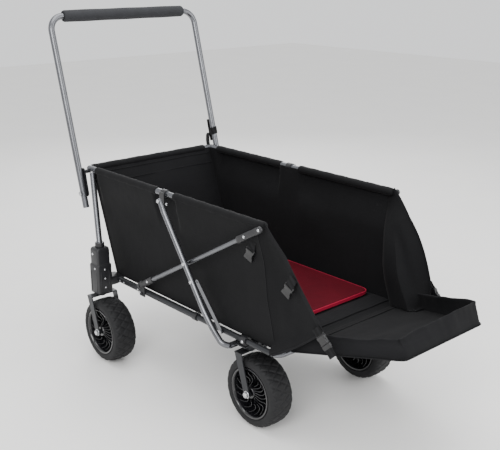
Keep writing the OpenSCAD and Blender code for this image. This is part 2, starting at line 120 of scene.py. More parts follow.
def finish_of(name, colour, rough, metal=0.0, more=None):
    """A new material with its base finish; gives the parts to build on."""
    mat = bpy.data.materials.new(name)
    mat.use_nodes = True
    skin = mat.node_tree.nodes["Principled BSDF"]
    skin.inputs["Base Color"].default_value = lin(colour)
    skin.inputs["Roughness"].default_value = rough
    skin.inputs["Metallic"].default_value = metal
    for key, value in (more or {}).items():
        skin.inputs[key].default_value = value
    place = add(mat.node_tree, "TexCoord").outputs["Object"]
    return mat, mat.node_tree, skin, place


def dress(tree, skin, tone=None, relief=None, rub=None):
    """Drives a skin's colour between two tones, its relief or its roughness by a pattern."""
    if tone:
        pattern, dark, pale = tone
        shade = add(tree, "Mix", {0: pattern, 6: lin(dark), 7: lin(pale)}, data_type="RGBA")
        tree.links.new(shade.outputs[2], skin.inputs["Base Color"])
    if relief:
        pattern, strength, depth_m = relief
        bump = add(tree, "Bump", {"Height": pattern, "Strength": strength, "Distance": depth_m})
        tree.links.new(bump.outputs[0], skin.inputs["Normal"])
    if rub:
        pattern, smooth, matt = rub
        polish = add(tree, "MapRange", {"Value": pattern, 3: smooth, 4: matt})
        tree.links.new(polish.outputs[0], skin.inputs["Roughness"])


def coat_nodes(mat, *names):
    """Gives carried-over CAD nodes their only material."""
    for name in names:
        nodes[name].data.materials.clear()
        nodes[name].data.materials.append(mat)


world = bpy.data.worlds.new("studio")
scene.world = world
world.use_nodes = True
world.node_tree.nodes["Background"].inputs["Color"].default_value = lin("#f6f7f8")
world.node_tree.nodes["Background"].inputs["Strength"].default_value = 1.25

# painted plaster floor: matt, very slightly mottled
plaster, tree, skin, place = finish_of("painted_plaster", "#f2f1ef", 0.8)
mottle = add(tree, "TexNoise", {"Vector": place, "Scale": 3.0, "Detail": 4.0})
dress(tree, skin, tone=(mottle.outputs[0], "#efeeec", "#f5f4f2"))
bpy.ops.mesh.primitive_plane_add(size=16, location=(0, 0, -0.0005))
floor = bpy.context.object
floor.name = "studio_floor"
floor.data.materials.append(plaster)


# ---- Frame tubes: silver-grey powder-coated steel ----
# Rims, back tube, posts, braces, struts and handle are 14 to 20 mm steel tube,
# bent cold and then powder coated. The coat is smooth with a faint orange peel.
coat_silver, tree, skin, place = finish_of("powder_coated_steel_silver", "#77787b", 0.26, 0.9)
mottle = add(tree, "TexNoise", {"Vector": place, "Scale": 18.0, "Detail": 5.0})
dress(tree, skin, tone=(mottle.outputs[0], "#5c5d60", "#77787c"))
dress(tree, skin, rub=(mottle.outputs[0], 0.2, 0.32))
# orange peel about 1.2 mm across
peel = add(tree, "TexNoise", {"Vector": place, "Scale": 850.0, "Detail": 1.0})
dress(tree, skin, relief=(peel.outputs[0], 0.05, 0.0001))
coat_nodes(coat_silver, "rim_rear_left", "rim_rear_right", "rim_front_left", "rim_front_right", "back_top_tube",
           "rear_posts", "front_cross_tube", "brace_cross_tube", "link_bars", "handle_arm_left", "handle_arm_right",
           "handle_top")


# ---- Lower rails and casters: gunmetal powder coat ----
# The rails, caster blocks and forks have the same steel under a darker coat,
# which is rubbed a little paler along the tubes.
coat_dark, tree, skin, place = finish_of("powder_coated_steel_gunmetal", "#2c2d2f", 0.34, 0.6)
mottle = add(tree, "TexNoise", {"Vector": place, "Scale": 26.0, "Detail": 6.0, "Roughness": 0.6})
dress(tree, skin, tone=(mottle.outputs[0], "#252628", "#38393c"))
peel = add(tree, "TexNoise", {"Vector": place, "Scale": 850.0, "Detail": 1.0})
dress(tree, skin, relief=(peel.outputs[0], 0.15, 0.0002))
coat_nodes(coat_dark, "rail_rear_left", "rail_rear_right", "rail_front_left", "rail_front_right", "rear_cross_tube",
           "caster_block_left", "caster_block_right", "strut_foot_brackets", "handle_plates", "fork_front_left",
           "fork_front_right", "fork_rear_left", "fork_rear_right")


# ---- Moulded fittings: glass-filled polypropylene ----
# Sleeves, clamps and brackets are injection moulded in black, with a fine
# spark-eroded grain that breaks up the highlights.
moulded_pp, tree, skin, place = finish_of("moulded_polypropylene", "#19191b", 0.44)
grain = add(tree, "TexNoise", {"Vector": place, "Scale": 1400.0, "Detail": 2.0})
dress(tree, skin, relief=(grain.outputs[0], 0.25, 0.0002))
scuff = add(tree, "TexNoise", {"Vector": place, "Scale": 40.0, "Detail": 6.0, "Roughness": 0.7})
dress(tree, skin, tone=(scuff.outputs[0], "#141416", "#202023"))
coat_nodes(moulded_pp, "rail_sleeves", "rim_mid_brackets", "front_clamps")


def rounded(points, radius, steps=7):
    """A path through the points with each corner rounded by about the radius, in mm."""
    pts = [Vector(p) for p in points]
    out = [pts[0]]
    for before, corner, after in zip(pts, pts[1:], pts[2:]):
        a, b = before - corner, after - corner
        cut = min(radius, a.length * 0.48, b.length * 0.48)
        p, q = corner + a.normalized() * cut, corner + b.normalized() * cut
        for i in range(steps + 1):
            t = i / steps
            out.append(p * (1 - t) ** 2 + corner * 2 * t * (1 - t) + q * t * t)
    out.append(pts[-1])
    return out


def ring(r, n=20, squash=1.0):
    """A round section of n points, in mm."""
    return [(r * math.cos(2 * math.pi * i / n), squash * r * math.sin(2 * math.pi * i / n)) for i in range(n)]


def flat_bar(w, t, soft=0.45):
    """A flat section with soft edges, w across and t thick, in mm."""
    return [(x * w / 2, y * t / 2) for x, y in (
        (-1, -soft), (-1 + 0.06, -1), (-0.4, -1), (0.4, -1), (1 - 0.06, -1), (1, -soft),
        (1, soft), (1 - 0.06, 1), (0.4, 1), (-0.4, 1), (-1 + 0.06, 1), (-1, soft))]


def swept(path, section, up=(0, 0, 1), closed=False, sizes=None):
    """A section carried along a path, both in mm; up is what its second direction keeps to."""
    p = np.array([tuple(v) for v in path], float)
    s = np.array(section, float)
    t = np.roll(p, -1, 0) - np.roll(p, 1, 0) if closed else np.gradient(p, axis=0)
    t /= np.linalg.norm(t, axis=1)[:, None]
    across = np.cross(np.array(up, float), t)
    across /= np.linalg.norm(across, axis=1)[:, None]
    rise = np.cross(t, across)
    k = np.ones((len(p), 2)) if sizes is None else np.array(sizes, float)
    verts = (p[:, None] + across[:, None] * (s[None, :, :1] * k[:, None, :1])
             + rise[:, None] * (s[None, :, 1:] * k[:, None, 1:])).reshape(-1, 3)
    n, m = len(p), len(s)
    faces = [(i * m + j, i * m + (j + 1) % m, (i + 1) % n * m + (j + 1) % m, (i + 1) % n * m + j)
             for i in range(n if closed else n - 1) for j in range(m)]
    if not closed:
        faces += [tuple(range(m))[::-1], tuple((n - 1) * m + j for j in range(m))]
    return verts, faces


def turned(profile, steps=48, closed=True, centre=(0, 0, 0)):
    """A profile of (radius, across) points turned round an axle along Y, in mm."""
    pr = np.array(profile, float)
    a = np.arange(steps) * 2 * math.pi / steps
    verts = np.stack([np.outer(np.cos(a), pr[:, 0]), np.tile(pr[:, 1], (steps, 1)),
                      np.outer(np.sin(a), pr[:, 0])], -1).reshape(-1, 3) + np.array(centre, float)
    m = len(pr)
    faces = [(i * m + j, i * m + (j + 1) % m, (i + 1) % steps * m + (j + 1) % m, (i + 1) % steps * m + j)
             for i in range(steps) for j in range(m if closed else m - 1)]
    return verts, faces


def lofted(levels, corner_steps=4):
    """A solid through a stack of rounded rectangles (height, x, y, half x, half y, corner), in mm."""
    verts, faces = [], []
    for z, cx, cy, hx, hy, r in levels:
        for sx, sy, a0 in ((1, 1, 0), (-1, 1, 90), (-1, -1, 180), (1, -1, 270)):
            for i in range(corner_steps + 1):
                a = math.radians(a0 + 90 * i / corner_steps)
                verts.append((cx + sx * (hx - r) + r * math.cos(a), cy + sy * (hy - r) + r * math.sin(a), z))
    m = 4 * (corner_steps + 1)
    for i in range(len(levels) - 1):
        faces += [(i * m + j, i * m + (j + 1) % m, (i + 1) * m + (j + 1) % m, (i + 1) * m + j) for j in range(m)]
    faces += [tuple(range(m))[::-1], tuple((len(levels) - 1) * m + j for j in range(m))]
    return np.array(verts), faces


def placed(part, origin, x_axis, z_axis):
    """Moves a part, made round the origin, so that its x and z point the given ways."""
    z = Vector(z_axis).normalized()
    x = Vector(x_axis)
    x = (x - z * x.dot(z)).normalized()
    y = z.cross(x)
    turn = np.array([x, y, z])
    return np.array(part[0]) @ turn + np.array(tuple(origin)), part[1]


def domed(centre, out, r, h):
    """A rivet head: a low dome on a surface, pointing out."""
    head = turned([(0.01, h), (r * 0.45, h * 0.92), (r * 0.8, h * 0.6), (r, h * 0.15), (r, -0.6), (0.01, -0.6)], 20)
    side = (0, 0, 1) if abs(out[2]) < 0.9 else (1, 0, 0)
    v, f = head
    return placed((v[:, [2, 0, 1]], f), centre, side, out)


def other_side(part):
    """The same part mirrored to the wagon's other side."""
    v = np.array(part[0], float)
    v[:, 1] *= -1
    return v, [tuple(f)[::-1] for f in part[1]]


def piece(name, parts, material, body=None, crease=38):
    """Joins parts into one object, smooth-shaded but sharp at its creases."""
    verts, faces = [], []
    for v, f in parts:
        base = len(verts)
        verts += [tuple(at(*p)) for p in v]
        faces += [tuple(i + base for i in face) for face in f]
    mesh = bpy.data.meshes.new(name)
    mesh.from_pydata(verts, [], faces)
    bm = bmesh.new()
    bm.from_mesh(mesh)
    bmesh.ops.remove_doubles(bm, verts=bm.verts, dist=1e-6)
    bmesh.ops.recalc_face_normals(bm, faces=bm.faces)
    bm.to_mesh(mesh)
    bm.free()
    mesh.materials.append(material)
    mesh.shade_smooth()
    mesh.set_sharp_from_angle(angle=math.radians(crease))
    obj = bpy.data.objects.new(name, mesh)
    scene.collection.objects.link(obj)
    if body:
        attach(obj, body)
    return obj


SIDES = (("right", -1), ("left", 1))


def for_side(parts, s):
    """Parts drawn for the right side, as they are or mirrored to the left."""
    return parts if s < 0 else [other_side(p) for p in parts]


# ---- Rivets and bolt heads: bright zinc-plated steel ----
# Domed heads set cold through the tubes; the plating is bright, a little
# cloudy, and greyer round the rim of each head.
zinc, tree, skin, place = finish_of("zinc_plated_steel", "#c9cacc", 0.28, 1.0)
cloud = add(tree, "TexNoise", {"Vector": place, "Scale": 160.0, "Detail": 4.0})
dress(tree, skin, tone=(cloud.outputs[0], "#a9aaad", "#dcdddf"))
dress(tree, skin, rub=(cloud.outputs[0], 0.2, 0.38))


# ---- Outer braces ----
# One 17 mm tube a side, bent twice near its foot and turned in under the rail
# to the cross tube; the upper end is pressed flatter round its rivet.
lo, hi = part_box("brace_cross_tube")
BX, BZ = ((lo.x + hi.x) / 2 - X0) * 1000, (lo.z + hi.z) * 500
BRACE_Y, BR = 282.8, 8.5
TOP = (BX - 278, RIM_Z - 10)
KNEE2 = (BX - 83, BZ + 71)
FOOT = (-177, RAIL_Z + 24)
HEAD = (360, RIM_Z - 4)
slope_s = (HEAD[1] - FOOT[1]) / (HEAD[0] - FOOT[0])
slope_b = (KNEE2[1] - TOP[1]) / (KNEE2[0] - TOP[0])
CX = (TOP[1] - FOOT[1] + slope_s * FOOT[0] - slope_b * TOP[0]) / (slope_s - slope_b)
CZ = FOOT[1] + slope_s * (CX - FOOT[0])
for side, s in SIDES:
    path = rounded([(TOP[0] - 4, -BRACE_Y, TOP[1] + 5), (TOP[0] + 24, -BRACE_Y, TOP[1] - 24 * abs(slope_b)),
                    (KNEE2[0], -BRACE_Y, KNEE2[1]), (BX - 44, -BRACE_Y, BZ + 31),
                    (BX - 13, -BRACE_Y, BZ + 7), (BX, -BRACE_Y + 14.8, BZ)], 34)
    sizes = [(1, 1)] * len(path)
    sizes[0], sizes[1], sizes[2] = (0.8, 0.6), (1.04, 0.84), (1.02, 0.9)
    rivets = [domed((x, -BRACE_Y - BR * 0.86, z), (0, -1, 0), 5.4, 2.6)
              for x, z in (TOP, (CX, CZ), (CX + 31, CZ + slope_b * 31))]
    tube = piece("brace_tube_" + side, for_side([swept(path, ring(BR, 24), (0, 1, 0), sizes=sizes)], s),
                 coat_silver, "braces")
    piece("brace_rivets_" + side, for_side(rivets, s), zinc, "braces")
    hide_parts("brace_" + side)


# ---- Inner struts and their end fittings ----
# A 14 mm tube pushed into a long moulded fitting at each end. Each fitting is
# flat round its pivot and grows to a square sleeve round the tube.
STRUT_Y = 266.0
span = Vector((HEAD[0] - FOOT[0], 0, HEAD[1] - FOOT[1]))
run = span.normalized()
for side, s in SIDES:
    foot, head = Vector((FOOT[0], -STRUT_Y, FOOT[1])), Vector((HEAD[0], -STRUT_Y, HEAD[1]))
    tube = piece("strut_tube_" + side, for_side(
        [swept([foot + run * 30, foot + run * 200, head - run * 200, head - run * 30], ring(7, 20), (0, 1, 0))], s),
        coat_silver, "struts")
    ends = []
    for origin, way, long in ((foot, run, 85), (head, -run, 90)):
        ends.append(placed(lofted([
            (-8.8, 0, 0, 3.5, 3, 2.9), (-7.4, 0, 0, 6.2, 4, 3.5), (-3, 0, 0, 8.6, 4.4, 3.5), (9, 0, 0, 9, 4.6, 3),
            (22, 0, 0, 8.6, 5.4, 3), (34, 0, 0, 8.8, 7.9, 4), (long - 12, 0, 0, 9, 8.2, 4.5),
            (long - 10, 0, 0, 9.8, 8.4, 4.5), (long - 2, 0, 0, 9.8, 8.4, 4.5), (long, 0, 0, 8.4, 8, 5)]),
            origin, (0, 0, 1), way))
    piece("strut_fittings_" + side, for_side(ends, s), moulded_pp, "struts")
    pins = []
    for origin, way in ((foot, run), (head, -run)):
        for along in (0, 58):
            p = origin + way * along
            pins.append(domed((p.x, p.y - (4.2 if along == 0 else 7.8), p.z), (0, -1, 0), 4.2, 2.0))
    piece("strut_rivets_" + side, for_side(pins, s), zinc, "struts")
    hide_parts("strut_" + side)


# ---- Rear housings ----
# A moulded corner over each rear caster: a deep lower block with chamfered
# edges and shallow ribs, a slimmer top that holds the post, and an arm in to
# the rail. Blind rivets hold its two halves.
MOUNT_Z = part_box("rear_housing_right")[0].z * 1000
TOP_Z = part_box("rear_housing_right")[1].z * 1000
HX, HY = -340, -300
for side, s in SIDES:
    shell = lofted([
        (MOUNT_Z + 0.2, HX, HY, 23.5, 24.5, 5), (MOUNT_Z + 2.5, HX, HY, 25, 26, 6),
        (MOUNT_Z + 92, HX, HY, 25, 26, 6),
        (MOUNT_Z + 95, HX, HY, 23.5, 24.5, 6), (MOUNT_Z + 96, HX, HY, 22, 23, 6), (TOP_Z - 10, HX, HY, 22, 23, 6),
        (TOP_Z - 4, HX, HY + 0.2, 21.5, 22.5, 7), (TOP_Z - 1, HX, HY + 0.6, 20, 21, 8),
        (TOP_Z, HX, HY + 1, 17.5, 18.5, 8)])
    arm = placed(lofted([(0, 0, 0, 23, 14, 4), (46, 0, 0, 23, 14, 4), (62, 0, 0, 21, 12.5, 5),
        (64, 0, 0, 19, 11, 5)]),
                 (HX, -300, RAIL_Z), (1, 0, 0), (0, 1, 0))
    ribs = [lofted([(MOUNT_Z + 8, HX + 24.6, HY + y, 1.6, 1.6, 0.7),
                    (MOUNT_Z + 10, HX + 24.9, HY + y, 1.6, 1.9, 0.7),
                    (MOUNT_Z + 72, HX + 24.9, HY + y, 1.6, 1.9, 0.7),
                    (MOUNT_Z + 74, HX + 24.6, HY + y, 1.6, 1.6, 0.7)])
            for y in (-14, 14)]
    ribs += [lofted([(MOUNT_Z + 8, HX + x, HY - 25.2, 1.6, 1.4, 0.7),
                     (MOUNT_Z + 10, HX + x, HY - 25.4, 1.9, 1.6, 0.7),
                     (MOUNT_Z + 72, HX + x, HY - 25.4, 1.9, 1.6, 0.7),
                     (MOUNT_Z + 74, HX + x, HY - 25.2, 1.6, 1.4, 0.7)])
             for x in (-15, 15)]
    verts, faces = turned([(13, -7), (14.5, -6), (14.5, 6), (13, 7), (10, 7), (10, -7)], 28)
    seat = [(verts[:, [0, 2, 1]] + np.array((HX - 2, HY + 2, TOP_Z + 7)), faces)]
    housing = piece("rear_corner_" + side, for_side([shell, arm] + ribs + seat, s), moulded_pp, "rear_frame",
                    30)
    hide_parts("rear_housing_" + side)
    rivets = [domed((HX + 24.8, HY + y, z), (1, 0, 0), 3.4, 1.8)
              for y, z in ((0, MOUNT_Z + 20), (0, MOUNT_Z + 50), (0, MOUNT_Z + 80))]
    rivets += [domed((HX - 6, HY - 22.8, TOP_Z - 20), (0, -1, 0), 4.2, 2.2),
               domed((HX + 8, HY - 25.9, MOUNT_Z + 84), (0, -1, 0), 3.4, 1.8)]
    rivets += [domed((x, -HALF_W - 9.3, RAIL_Z), (0, -1, 0), 3.4, 1.8) for x in (-304, -282, -205)]
    rivets += [domed((-191, -HALF_W - 9.3 - 3, RAIL_Z - 3), (0, -1, 0), 4, 2)]
    piece("rear_corner_rivets_" + side, for_side(rivets, s), zinc, "rear_frame")


# ---- Front clamps, link bars and handle pivots ----
# Small heads on the joints that fold: clamp bolt, link-bar rivets and the
# shoulder rivets that the handle turns on.
for side, s in SIDES:
    heads = [domed((285, -HALF_W - 12.4, RAIL_Z), (0, -1, 0), 4.4, 2.2)]
    piece("clamp_bolts_" + side, for_side(heads, s), zinc, "front_frame")
    heads = [domed((BX - 46, -HALF_W - 16.2 + 1.4, RAIL_Z), (0, -1, 0), 4.6, 2.2)]
    piece("link_rivets_" + side, for_side(heads, s), zinc, "braces")
    heads = [domed((-452, -292.6, RIM_Z - 74), (0, -1, 0), 7.4, 3.0),
             domed((-34, -HALF_W - 14.2, RIM_Z - 24), (0, -1, 0), 4.4, 2.2)]
    piece("handle_rivets_" + side, for_side(heads, s), zinc, "rear_frame")


# ---- Tyres ----
# Broad solid beach tyres, 200 by 76 mm, moulded in matt dark grey rubber, with
# round sidewalls and shallow crossed grooves over the tread.
rubber, tree, skin, place = finish_of("moulded_rubber", "#161618", 0.68, more={"Specular IOR Level": 0.3})
bloom = add(tree, "TexNoise", {"Vector": place, "Scale": 22.0, "Detail": 6.0, "Roughness": 0.65})
dress(tree, skin, tone=(bloom.outputs[0], "#101011", "#1b1b1d"))
grit = add(tree, "TexNoise", {"Vector": place, "Scale": 700.0, "Detail": 3.0})
dress(tree, skin, relief=(grit.outputs[0], 0.3, 0.0003))
half = [(73.4, 33.5), (74.5, 36), (77.5, 37.6), (83, 37.9), (88, 37.2), (92.5, 35.2), (95.8, 31.8), (98, 27.4),
        (99.3, 21), (99.9, 13), (100, 6), (100, 0)]
line = np.array([(r, -y) for r, y in half] + half[::-1][1:])
gap = np.r_[0, np.cumsum(np.linalg.norm(np.diff(line, axis=0), axis=1))]
fine = np.linspace(0, gap[-1], 64)
rs, ys = np.interp(fine, gap, line[:, 0]), np.interp(fine, gap, line[:, 1])
for _ in range(2):
    rs[1:-1] = (rs[:-2] + 2 * rs[1:-1] + rs[2:]) / 4
STEPS, BLOCKS = 360, 24
a = np.arange(STEPS) * 2 * math.pi / STEPS
pitch = 2 * math.pi * 100 / BLOCKS
depth = np.zeros((STEPS, 64))
for lean in (0.7, -0.7):
    phase = ((a[:, None] * 100 + lean * ys[None]) / pitch + 0.25) % 1 - 0.5
    depth = np.maximum(depth, np.clip(1.25 - np.abs(phase) * pitch / 3.6, 0, 1) ** 0.8)
depth *= 2.1 * np.clip((38.5 - np.abs(ys)) / 7, 0, 1)[None] * np.clip((rs - 82) / 7, 0, 1)[None]
rad = rs[None] - depth
verts = np.stack([rad * np.cos(a)[:, None], np.tile(ys, (STEPS, 1)), rad * np.sin(a)[:, None]], -1)
inner = np.stack([np.outer(np.cos(a), [73.4, 73.4]), np.tile([20.0, -20.0], (STEPS, 1)),
                  np.outer(np.sin(a), [73.4, 73.4])], -1)
verts = np.concatenate([verts, inner], 1)
m = verts.shape[1]
tyre_part = (verts.reshape(-1, 3), [(i * m + j, i * m + (j + 1) % m, (i + 1) % STEPS * m + (j + 1) % m,
                                     (i + 1) % STEPS * m + j) for i in range(STEPS) for j in range(m)])
WHEELS = {}
for end in ("front", "rear"):
    for side, s in SIDES:
        lo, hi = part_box(f"tyre_{end}_{side}")
        mid = (lo + hi) / 2
        WHEELS[end, side] = np.array(((mid.x - X0) * 1000, mid.y * 1000, mid.z * 1000))
        tread = piece(f"tread_{end}_{side}", [(tyre_part[0] + WHEELS[end, side], tyre_part[1])], rubber,
                      f"wheel_{end}_{side}", 60)
        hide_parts(f"tyre_{end}_{side}")


# ---- Wheel hubs ----
# Glossy black moulded wheels: a deep dish with eighteen thin curved ribs
# running from the boss to the wall, the same on both faces.
gloss, tree, skin, place = finish_of("moulded_abs_gloss", "#0d0d0f", 0.14, more={"Coat Weight": 0.4})
swirl = add(tree, "TexNoise", {"Vector": place, "Scale": 60.0, "Detail": 3.0})
dress(tree, skin, rub=(swirl.outputs[0], 0.12, 0.26))
dress(tree, skin, tone=(swirl.outputs[0], "#0a0a0c", "#17171a"))
dish = [(73.3, 35), (72.4, 36.8), (70.4, 37.5), (68, 36.8), (66.4, 34.5), (65, 30), (62.8, 18), (61, 8), (58, 4),
        (40, 3.2), (22, 4), (18.6, 7), (17.4, 22), (16.6, 31), (14.6, 34), (9.6, 34.6), (5.3, 34.6)]
dish = dish + [(r, -y) for r, y in dish[::-1]]
hub_parts = [turned(dish, 96)]
for face in (-1, 1):
    for k in range(18):
        blade = []
        for t in np.linspace(0, 1, 13):
            r = 16.6 + 47.4 * t
            bow = 2 * math.pi * k / 18 + face * (0.30 * math.sin(2 * math.pi * t) * (1 - 0.55 * t) + 0.34 * t)
            rise = 30 - 12 * math.sin(math.pi * t) - 2 * t
            mid = np.array((math.cos(bow), math.sin(bow))) * r
            off = np.array((-math.sin(bow), math.cos(bow))) * 1.2
            for o, y in ((-1, 2.0), (1, 2.0), (0.7, rise), (-0.7, rise)):
                blade.append((mid[0] + o * off[0], face * y, mid[1] + o * off[1]))
        faces = [(i * 4 + j, i * 4 + (j + 1) % 4, i * 4 + 4 + (j + 1) % 4, i * 4 + 4 + j)
                 for i in range(12) for j in range(4)] + [(0, 1, 2, 3), (51, 50, 49, 48)]
        hub_parts.append((np.array(blade), faces))
BOLT_OUT = 46.7  # from the wheel's middle to the seat of a bolt head, in mm
for (end, side), mid in WHEELS.items():
    moved = [(v + mid, f) for v, f in hub_parts]
    hub = piece(f"turbine_hub_{end}_{side}", moved, gloss, f"wheel_{end}_{side}", 32)
    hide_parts(f"hub_{end}_{side}")
    caps = []
    for face in (-1, 1):
        cap = turned([(0.01, 7.4), (3.4, 7.3), (4.0, 6.6), (7.4, 6.0), (8.3, 5.0), (8.3, 0.2), (10.4, 0.1),
                      (10.4, -0.9), (0.01, -0.9)], 28)
        v = cap[0].copy()
        v[:, 1] = v[:, 1] * face + face * BOLT_OUT
        caps.append((v + mid, cap[1]))
    piece(f"axle_bolts_{end}_{side}", caps, zinc, f"caster_{end}_{side}")


# ---- Grip ----
# A split foam sleeve glued on the handle's bar: closed-cell EVA, matt, finely
# pored, with softly rounded ends.
foam, tree, skin, place = finish_of("eva_foam", "#1c1d20", 0.86)
pores = add(tree, "TexVoronoi", {"Vector": place, "Scale": 620.0})
dress(tree, skin, relief=(pores.outputs[0], 0.35, 0.0004))
cloud = add(tree, "TexNoise", {"Vector": place, "Scale": 34.0, "Detail": 5.0})
dress(tree, skin, tone=(cloud.outputs[0], "#17181b", "#25262a"))
lo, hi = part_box("handle_grip")
grip_x, grip_z = ((lo.x + hi.x) / 2 - X0) * 1000, (lo.z + hi.z) * 500
half_grip = hi.y * 1000
outline = [(10.4, -half_grip + 1), (13.5, -half_grip), (16.4, -half_grip + 1.4), (18.2, -half_grip + 5)]
outline += [(18.7 - 0.35 * math.cos(2 * math.pi * t * 3), -half_grip + 12 + (2 * half_grip - 24) * t)
            for t in np.linspace(0, 1, 25)]
outline += [(r, -y) for r, y in outline[3::-1]]
grip = piece("foam_grip", [turned(outline, 40, False, (grip_x, 0, grip_z))], foam, "handle", 60)
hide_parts("handle_grip")


# ---- Woven cloth ----
# 600D polyester oxford with a coated back. Real threads are 0.6 mm apart;
# they are drawn 1.2 mm apart so that the weave shows at all.
def oxford(name, dark, pale, rough=0.82, thread=1.2):
    """A woven cloth: two crossing threads for the relief and a slow change of tone."""
    mat, tree, skin, place = finish_of(name, dark, rough,
        more={"Sheen Weight": 0.02, "Sheen Roughness": 0.5, "Specular IOR Level": 0.16})
    turns = 1000 / thread / 20
    threads = [add(tree, "TexWave", {"Vector": place, "Scale": turns, "Distortion": 0.6, "Detail": 1.0,
                                     "Detail Scale": 3.0}, bands_direction=way) for way in ("X", "Y", "Z")]
    pair = add(tree, "Math", {0: threads[0].outputs[1], 1: threads[1].outputs[1]}, operation="MULTIPLY")
    cloth = add(tree, "Math", {0: pair.outputs[0], 1: threads[2].outputs[1]}, operation="ADD")
    cloud = add(tree, "TexNoise", {"Vector": place, "Scale": 9.0, "Detail": 7.0, "Roughness": 0.62})
    weave = add(tree, "MapRange", {"Value": cloth.outputs[0], 2: 2.0, 3: 0.85, 4: 1.05})
    tone = add(tree, "Math", {0: cloud.outputs[0], 1: weave.outputs[0]}, operation="MULTIPLY")
    dress(tree, skin, tone=(tone.outputs[0], dark, pale))
    relief = add(tree, "Bump", {"Height": cloth.outputs[0], "Strength": 0.14, "Distance": 0.0003})
    rumple = add(tree, "TexNoise", {"Vector": place, "Scale": 24.0, "Detail": 3.0})
    soft = add(tree, "Bump", {"Height": rumple.outputs[0], "Strength": 0.35, "Distance": 0.004,
                              "Normal": relief.outputs[0]})
    tree.links.new(soft.outputs[0], skin.inputs["Normal"])
    return mat


oxford_black = oxford("polyester_oxford_black", "#070708", "#121214")
oxford_lining = oxford("polyester_oxford_lining", "#09090b", "#151517", 0.84)
binding = oxford("polyester_binding_tape", "#0a0a0c", "#161618", 0.78)


def cloth_sheet(point, nu, nv, thick=1.2):
    """A sheet of cloth through point(u, v), given a front and a back skin thick mm apart."""
    us, vs = np.linspace(0, 1, nu), np.linspace(0, 1, nv)
    p = np.array([[point(u, v) for v in vs] for u in us], float)
    du, dv = np.gradient(p, axis=0), np.gradient(p, axis=1)
    n = np.cross(du, dv)
    n /= np.maximum(np.linalg.norm(n, axis=2), 1e-9)[..., None]
    verts = np.concatenate([(p + n * thick / 2).reshape(-1, 3), (p - n * thick / 2).reshape(-1, 3)])
    half = nu * nv
    faces = []
    for i in range(nu - 1):
        for j in range(nv - 1):
            q = (i * nv + j, (i + 1) * nv + j, (i + 1) * nv + j + 1, i * nv + j + 1)
            faces += [q, tuple(k + half for k in q)[::-1]]
    rim = [i * nv for i in range(nu)] + [(nu - 1) * nv + j for j in range(1, nv)]
    rim += [i * nv + nv - 1 for i in range(nu - 2, -1, -1)] + [j for j in range(nv - 2, 0, -1)]
    faces += [(a, b, b + half, a + half) for a, b in zip(rim, rim[1:] + rim[:1])]
    return verts, faces


def ease(t):
    """Slow at both ends."""
    t = min(max(t, 0.0), 1.0)
    return t * t * (3 - 2 * t)


def ripple(a, b, k=0.0):
    """Slow unevenness of slack cloth, between about -1 and 1."""
    return (math.sin(a * 1.7 + 2.1 * b + k) + math.sin(a * 3.1 - b * 1.3 + 1.9 * k + 1) * 0.6
            + math.sin(a * 5.3 + b * 2.9 + 0.7 * k + 2) * 0.35) / 1.95


# ---- Side walls ----
# One panel a side from the leaning rear edge to the front seam. It hangs just
# inside the rails, and sleeves sewn along its top run round the rim tubes,
# left open round the joint in the middle.
WALL_Y, FLOOR_Z = 235.3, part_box("side_wall_right")[0].z * 1000 - 3
